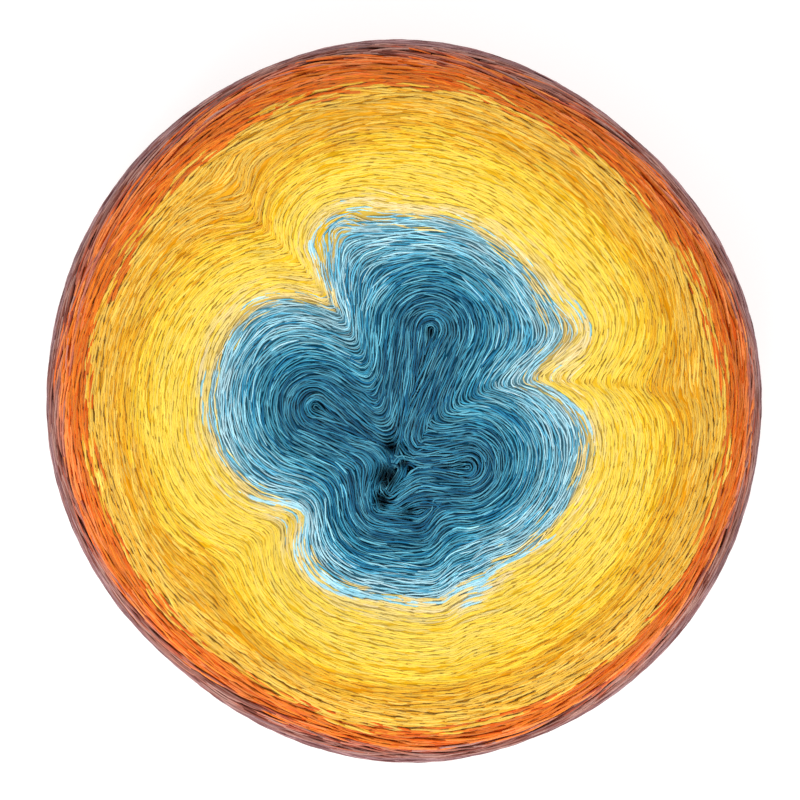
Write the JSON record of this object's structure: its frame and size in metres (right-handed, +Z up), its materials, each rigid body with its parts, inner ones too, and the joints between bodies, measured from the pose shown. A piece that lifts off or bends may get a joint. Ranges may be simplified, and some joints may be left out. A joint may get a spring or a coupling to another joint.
{
  "type": "yarn cake",
  "caption": "Round cake of gradient yarn wound in layers, with a soft lobed middle, slits and radial creases on top, rounded edges and a flat foot.",
  "frame": {"origin": "under the middle of the cake, on the surface that it stands on", "axes": "+Z up along the winding axis; seen from straight above, +Y is the back of the top face and +X its right"},
  "size_m": [0.15, 0.152, 0.075],
  "materials": {
    "yarn": "soft wound strands, matt with a slight sheen, dyed from teal in the middle over yellow to rust and plum outside"
  },
  "bodies": {
    "root": {"wound_cake": "yarn"}
  },
  "joints": []
}
